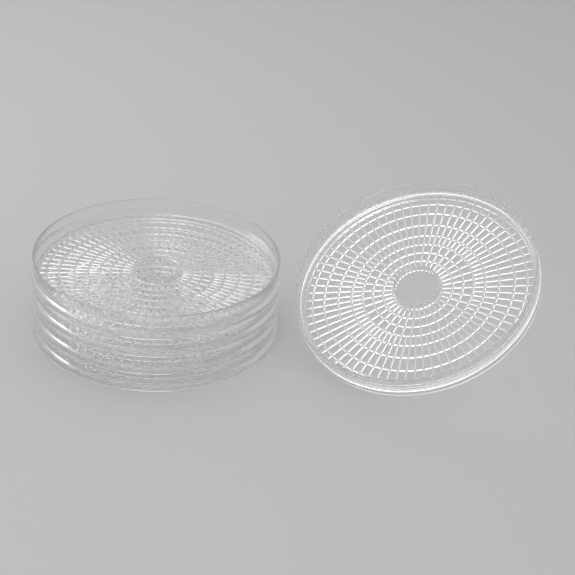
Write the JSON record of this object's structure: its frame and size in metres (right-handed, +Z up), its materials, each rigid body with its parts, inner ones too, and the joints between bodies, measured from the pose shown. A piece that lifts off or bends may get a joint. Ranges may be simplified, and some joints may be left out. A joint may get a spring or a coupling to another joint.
{
  "type": "food dehydrator tray set",
  "caption": "Round clear plastic food dehydrator trays with grille floors, nested in a stack, and one more tray tipped up beside it.",
  "frame": {"origin": "middle of the whole set's footprint, on the surface that it stands on", "axes": "+X from the stack towards the loose tray, +Y away from the viewer, +Z up"},
  "size_m": [0.5065, 0.25, 0.1445],
  "materials": {
    "clear_plastic": "polished, clear"
  },
  "bodies": {
    "stack_tray_1": {"stack_tray_1": "clear_plastic"},
    "stack_tray_2": {"stack_tray_2": "clear_plastic"},
    "stack_tray_3": {"stack_tray_3": "clear_plastic"},
    "stack_tray_4": {"stack_tray_4": "clear_plastic"},
    "loose_tray": {"loose_tray": "clear_plastic"}
  },
  "joints": [
    {"name": "lift_tray_2", "type": "slide", "parent": "stack_tray_1", "child": "stack_tray_2", "axis": [0, 0, 1], "range_m": [0, 0.06]},
    {"name": "lift_tray_3", "type": "slide", "parent": "stack_tray_2", "child": "stack_tray_3", "axis": [0, 0, 1], "range_m": [0, 0.06]},
    {"name": "lift_tray_4", "type": "slide", "parent": "stack_tray_3", "child": "stack_tray_4", "axis": [0, 0, 1], "range_m": [0, 0.06]},
    {"name": "tip_loose_tray", "type": "hinge", "parent": "stack_tray_1", "child": "loose_tray", "pos_m": [0.06459, -0.08035, 0], "axis": [-0.7581, 0.6521, 0], "range_deg": [0, 29.9]}
  ]
}
